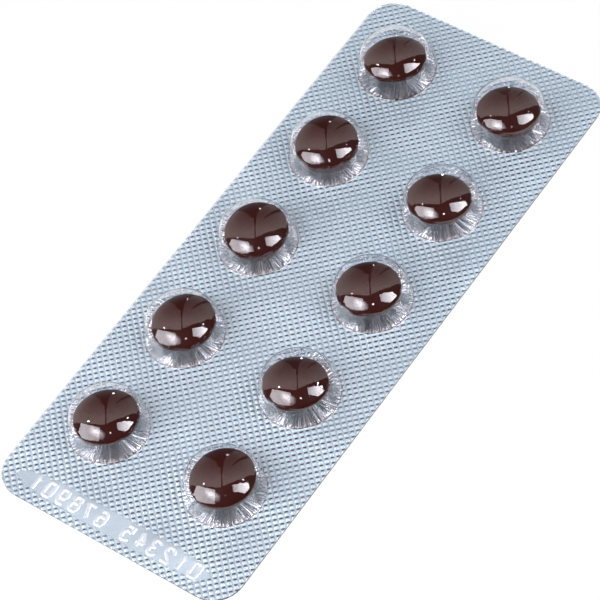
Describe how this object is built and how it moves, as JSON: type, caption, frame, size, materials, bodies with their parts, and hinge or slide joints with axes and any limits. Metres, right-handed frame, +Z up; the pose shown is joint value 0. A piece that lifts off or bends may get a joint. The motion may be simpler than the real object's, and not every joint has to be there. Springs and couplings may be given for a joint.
{
  "type": "pill blister pack",
  "caption": "Push-through blister pack: clear thermoformed film with round pockets, each holding a glossy brown domed tablet, sealed with knurled aluminium foil.",
  "frame": {"origin": "middle of the foil's underside, on the surface that the pack lies on", "axes": "+Y along the pack, from the end with the wide code margin to the far end; +X across the columns; +Z up, out of the pockets"},
  "size_m": [0.04, 0.0982, 0.0063],
  "materials": {
    "clear_film": "clear, glossy, as thermoformed",
    "foil": "bright, knurled by the sealing tool",
    "sugar_coat": "polished sugar coat, high gloss"
  },
  "bodies": {
    "root": {"blister_film": "clear_film", "lidding_foil": "foil", "tablet_01": "sugar_coat", "tablet_02": "sugar_coat", "tablet_03": "sugar_coat", "tablet_04": "sugar_coat", "tablet_05": "sugar_coat", "tablet_06": "sugar_coat", "tablet_07": "sugar_coat", "tablet_08": "sugar_coat", "tablet_09": "sugar_coat", "tablet_10": "sugar_coat"}
  },
  "joints": []
}
